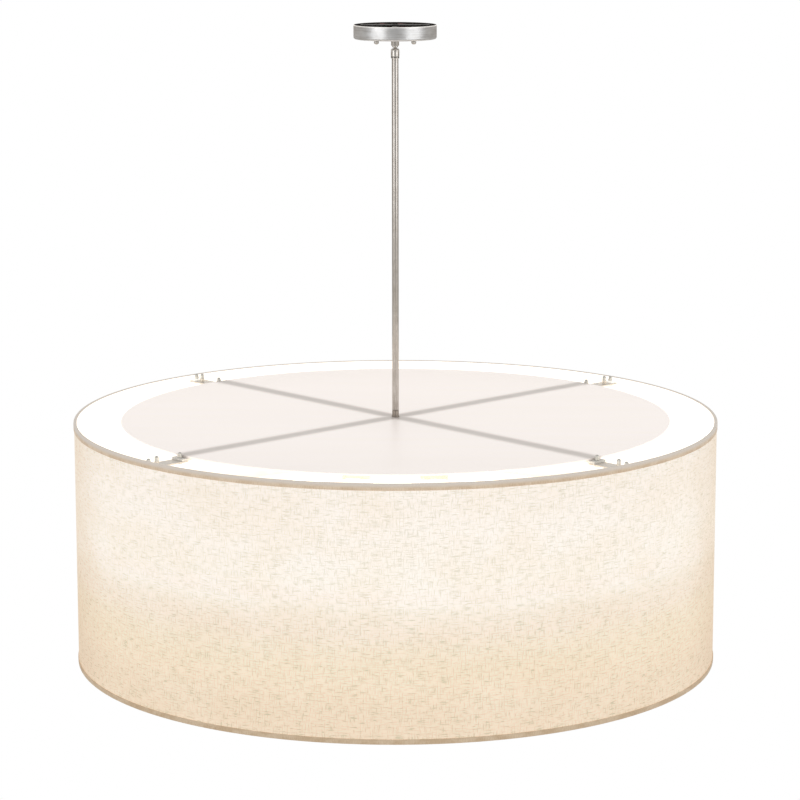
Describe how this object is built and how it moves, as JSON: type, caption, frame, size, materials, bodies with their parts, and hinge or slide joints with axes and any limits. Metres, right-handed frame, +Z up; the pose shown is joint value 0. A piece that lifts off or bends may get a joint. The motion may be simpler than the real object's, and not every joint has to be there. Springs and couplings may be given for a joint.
{
  "type": "drum pendant chandelier",
  "caption": "Large round linen drum shade hung on a rod from a ceiling canopy with a ball swivel, with lit translucent discs across its top and middle.",
  "frame": {"origin": "centre of the ceiling canopy's upper rim, in the plane of the ceiling", "axes": "+Z up towards the ceiling; +X to the right along the line of the two canopy nuts, seen from the pictured side; the picture looks along +Y"},
  "size_m": [1, 1, 0.9866],
  "materials": {
    "brushed_nickel": "brushed nickel plate",
    "dark_nickel": "darker satin nickel plate",
    "black_oxide_steel": "black oxide pressed steel",
    "zinc_plated_steel": "zinc-plated turned steel",
    "satin_steel": "satin-finished pressed steel",
    "green_zinc": "green passivated screw",
    "nylon": "moulded nylon",
    "white_steel": "white powder-coated pressed steel",
    "white_acrylic": "translucent white acrylic sheet, faint streaks, satin",
    "linen": "cream linen weave with tan slubs, lit from inside",
    "styrene": "white styrene lining",
    "trim_tape": "tan folded edging tape",
    "porcelain": "glazed porcelain",
    "frosted_lamp": "frosted lamp glass",
    "white_wire": "white wire sheath",
    "black_wire": "black wire sheath",
    "red_connector": "dark red twist-on connector"
  },
  "bodies": {
    "ceiling_side": {"canopy": "brushed_nickel", "crossbar": "black_oxide_steel", "canopy_stud_left": "zinc_plated_steel", "canopy_stud_right": "zinc_plated_steel", "canopy_cap_nut_left": "dark_nickel", "canopy_cap_nut_right": "dark_nickel", "ground_screw": "green_zinc", "swivel_ball_stud": "brushed_nickel", "swivel_hex_collar": "brushed_nickel", "nipple_washer": "zinc_plated_steel", "nipple_locknut": "zinc_plated_steel", "white_wire_upper": "white_wire", "black_wire_upper": "black_wire", "wire_connector_left": "red_connector", "wire_connector_right": "red_connector"},
    "tilting_liner": {"swivel_liner": "nylon"},
    "tilting_seat": {"swivel_seat": "dark_nickel"},
    "pendant": {"swivel_barrel": "brushed_nickel", "swivel_lock_ring": "brushed_nickel", "rod": "brushed_nickel", "rod_coupling": "dark_nickel", "threaded_stem": "zinc_plated_steel", "upper_diffuser": "white_acrylic", "upper_bar_first": "white_steel", "upper_bar_second": "white_steel", "hub_washer": "zinc_plated_steel", "hub_locknut": "zinc_plated_steel", "shade_fabric": "linen", "shade_liner": "styrene", "top_trim": "trim_tape", "bottom_trim": "trim_tape", "top_ring": "white_steel", "bottom_ring": "white_steel", "ring_bracket_1": "satin_steel", "ring_bracket_2": "satin_steel", "ring_bracket_3": "satin_steel", "ring_bracket_4": "satin_steel", "bar_end_fixing_1": "zinc_plated_steel", "bar_end_fixing_2": "zinc_plated_steel", "bar_end_fixing_3": "zinc_plated_steel", "bar_end_fixing_4": "zinc_plated_steel", "rim_fixing_1": "zinc_plated_steel", "rim_fixing_2": "zinc_plated_steel", "rim_fixing_3": "zinc_plated_steel", "rim_fixing_4": "zinc_plated_steel", "cluster_body": "white_steel", "cluster_cover": "white_steel", "lamp_socket_1": "porcelain", "lamp_socket_2": "porcelain", "lamp_socket_3": "porcelain", "lamp_socket_4": "porcelain", "lamp_1": "frosted_lamp", "lamp_2": "frosted_lamp", "lamp_3": "frosted_lamp", "lamp_4": "frosted_lamp", "lead_lower": "black_wire"},
    "drop_diffuser": {"lower_diffuser": "white_acrylic", "lower_bar_first": "white_steel", "lower_bar_second": "white_steel", "finial": "brushed_nickel"}
  },
  "joints": [
    {"name": "tilt_x", "type": "hinge", "parent": "ceiling_side", "child": "tilting_liner", "pos_m": [0, 0, -0.041], "axis": [1, 0, 0], "range_deg": [-15, 15]},
    {"name": "tilt_y", "type": "hinge", "parent": "tilting_liner", "child": "tilting_seat", "pos_m": [0, 0, -0.041], "axis": [0, 1, 0], "range_deg": [-15, 15]},
    {"name": "turn", "type": "hinge", "parent": "tilting_seat", "child": "pendant", "pos_m": [0, 0, -0.041], "axis": [0, 0, 1], "range_deg": [-175, 175]},
    {"name": "diffuser_drop", "type": "slide", "parent": "pendant", "child": "drop_diffuser", "axis": [0, 0, -1], "range_m": [0, 0.26]}
  ]
}
